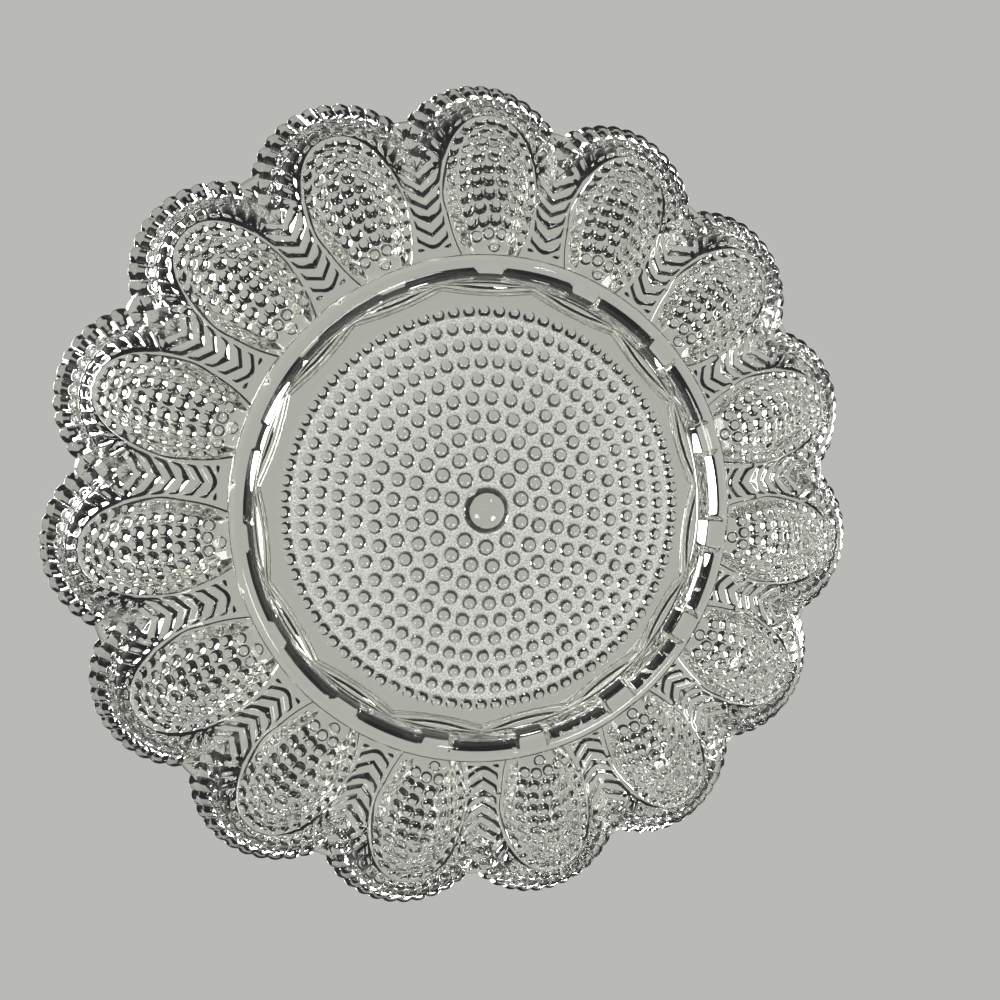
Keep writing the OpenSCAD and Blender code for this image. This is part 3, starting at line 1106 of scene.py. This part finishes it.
@dataclass
class Studio:
    """A pale table under the plate, a pale backdrop, lamps and a camera.

    The photograph shows the plate upside down, so the camera looks up at the underside of the
    plate. The table shows only from above, and only to rays that have been turned back an even
    number of times, so it hides neither the plate nor its lamps from the camera. The window is
    in degrees from the line of sight, the horizon in shares of straight up, and the table's
    reach and glow in metres.
    """

    pale: str = "#B9B9B6"
    dark: str = "#2A2A2C"
    window: tuple[float, float] = (25.6, 24.0)
    horizon: tuple[float, float] = (0.22, 0.40)
    reach: float = 3.0
    glow: tuple[float, float] = (0.3, 0.9)
    camera_mm: tuple[float, float, float] = (-53.03, -45.28, -306.48)
    camera_turn: tuple[float, float, float] = (175.741, 12.191, 17.216)
    focal: float = 36.1
    sensor: float = 36.0
    lamps: tuple[Lamp, ...] = (
        Lamp("key_above", (-0.7, -0.5, 1.1), 0.55, 9.0),
        Lamp("fill_above", (1.35, 0.5, 0.9), 0.7, 8.0),
        Lamp("spark_above", (0.1, 1.15, 1.0), power=1.8),
        Lamp("key_below", (0.45, 1.0, -1.05), 0.55, 9.0),
        Lamp("fill_below", (-1.1, 0.3, -0.9), 0.5, 6.0),
        Lamp("spark_below", (0.75, -0.75, -0.9)),
        Lamp("spark_left", (-1.0, -0.5, 0.9)),
        Lamp("spark_right", (1.1, -0.2, 0.8)),
        Lamp("spark_front", (0.2, -1.0, 0.9)),
    )

    def one_way(self) -> bpy.types.Material:
        """Makes the table's pale material, which shows only from above.

        Formula: it shows where the ray meets the upper side, isn't a shadow ray, and has been
        reflected an even number of times, which is its depth less its passes through glass. Far
        from the plate the table glows with its own colour, so it runs into the backdrop.

        Returns:
            The new material.
        """
        material = bpy.data.materials.new("pale_table")
        tree = fresh_tree(material)
        path = add_node(tree, "ShaderNodeLightPath")
        place = add_node(tree, "ShaderNodeNewGeometry")
        turns = add_node(tree, "ShaderNodeMath", {
            0: path.outputs["Ray Depth"], 1: path.outputs["Transmission Depth"]},
            operation="SUBTRACT")
        hidden = add_node(tree, "ShaderNodeMath", {0: turns, 1: 2.0}, operation="MODULO")
        for reason in (path.outputs["Is Shadow Ray"], place.outputs["Backfacing"]):
            hidden = add_node(tree, "ShaderNodeMath", {0: hidden, 1: reason}, operation="ADD")
        shows = add_node(tree, "ShaderNodeMath", {0: hidden, 1: 0.5}, operation="LESS_THAN")
        away = add_node(tree, "ShaderNodeVectorMath", {0: place.outputs["Position"]},
                        operation="LENGTH")
        far = add_node(tree, "ShaderNodeMapRange", {
            "Value": away, "From Min": self.glow[0], "From Max": self.glow[1]},
            interpolation_type="SMOOTHSTEP")
        lit = add_node(tree, "ShaderNodeBsdfDiffuse", {"Color": hex_colour(self.pale)})
        glow = add_node(tree, "ShaderNodeEmission", {"Color": hex_colour(self.pale)})
        pale = add_node(tree, "ShaderNodeMixShader", {"Fac": far, 1: lit, 2: glow})
        clear = add_node(tree, "ShaderNodeBsdfTransparent")
        mix = add_node(tree, "ShaderNodeMixShader", {"Fac": shows, 1: clear, 2: pale})
        add_node(tree, "ShaderNodeOutputMaterial", {"Surface": mix})
        return material

    def table(self) -> None:
        """Lays the table, a large plane that faces up."""
        r = self.reach
        mesh = bpy.data.meshes.new("table")
        mesh.from_pydata([(-r, -r, 0), (r, -r, 0), (r, r, 0), (-r, r, 0)], [], [(0, 1, 2, 3)])
        mesh.materials.append(self.one_way())
        table = add_object("table", mesh)

    def surroundings(self) -> None:
        """Sets the world: pale behind the plate and at the horizon, and dark between.

        Formula: the backdrop is a cone of directions as wide as the plate looks to the camera,
        so clear glass shows it and glass that bends the light further shows the dark round it.
        The camera itself sees the pale colour in every direction.
        """
        world = bpy.data.worlds.new("studio")
        bpy.context.scene.world = world
        tree = fresh_tree(world)
        sight = (-Vector(self.camera_mm)).normalized()
        way = add_node(tree, "ShaderNodeTexCoord").outputs["Generated"]
        ahead = add_node(tree, "ShaderNodeVectorMath", {0: way, 1: sight},
                         operation="DOT_PRODUCT")
        wide, narrow = [math.cos(math.radians(a)) for a in self.window]
        share = add_node(tree, "ShaderNodeMapRange", {
            "Value": ahead, "From Min": wide, "From Max": narrow},
            interpolation_type="SMOOTHSTEP")
        up = add_node(tree, "ShaderNodeSeparateXYZ", {"Vector": way}).outputs["Z"]
        steep = add_node(tree, "ShaderNodeMath", {0: up}, operation="ABSOLUTE")
        level = add_node(tree, "ShaderNodeMapRange", {
            "Value": steep, "From Min": self.horizon[1], "From Max": self.horizon[0]},
            interpolation_type="SMOOTHSTEP")
        direct = add_node(tree, "ShaderNodeLightPath").outputs["Is Camera Ray"]
        for part in (level, direct):
            share = add_node(tree, "ShaderNodeMath", {0: share, 1: part}, operation="MAXIMUM")
        shade = add_node(tree, "ShaderNodeMix", {
            "Factor": share, "A": hex_colour(self.dark), "B": hex_colour(self.pale)},
            data_type="RGBA")
        light = add_node(tree, "ShaderNodeBackground", {"Color": shade})
        add_node(tree, "ShaderNodeOutputWorld", {"Surface": light})

    def camera(self) -> None:
        """Sets the camera where the photograph was taken from."""
        data = bpy.data.cameras.new("camera")
        data.lens, data.sensor_width = self.focal, self.sensor
        data.clip_start = 0.005
        camera = add_object("camera", data)
        camera.location = [c * MM for c in self.camera_mm]
        camera.rotation_euler = [math.radians(a) for a in self.camera_turn]
        bpy.context.scene.camera = camera

    def set_up(self) -> None:
        """Lays the table, hangs the lamps and sets the camera and the view."""
        self.table()
        self.surroundings()
        for lamp in self.lamps:
            lamp.hang()
        self.camera()
        scene = bpy.context.scene
        scene.view_settings.view_transform = "Standard"
        scene.cycles.max_bounces = 24
        scene.cycles.transmission_bounces = 24
        scene.cycles.glossy_bounces = 8
        scene.cycles.transparent_max_bounces = 32


def main() -> None:
    """Builds the studio and the plate's zones, in order, and dresses them."""
    logging.basicConfig(level=logging.INFO, format="%(name)s: %(message)s")
    form = PlateForm()
    Studio().set_up()
    glass = PressedGlass("pressed_soda_glass").make()
    ground = PressedGlass("stippled_soda_glass", stippled=True).make()
    wall = SharedWall().make()
    petals = Petals(form)
    Centre(form).dress([ground, wall])
    FootRing(form, petals).dress([glass, wall])
    petals.dress([glass, wall])


if __name__ == "__main__":
    main()
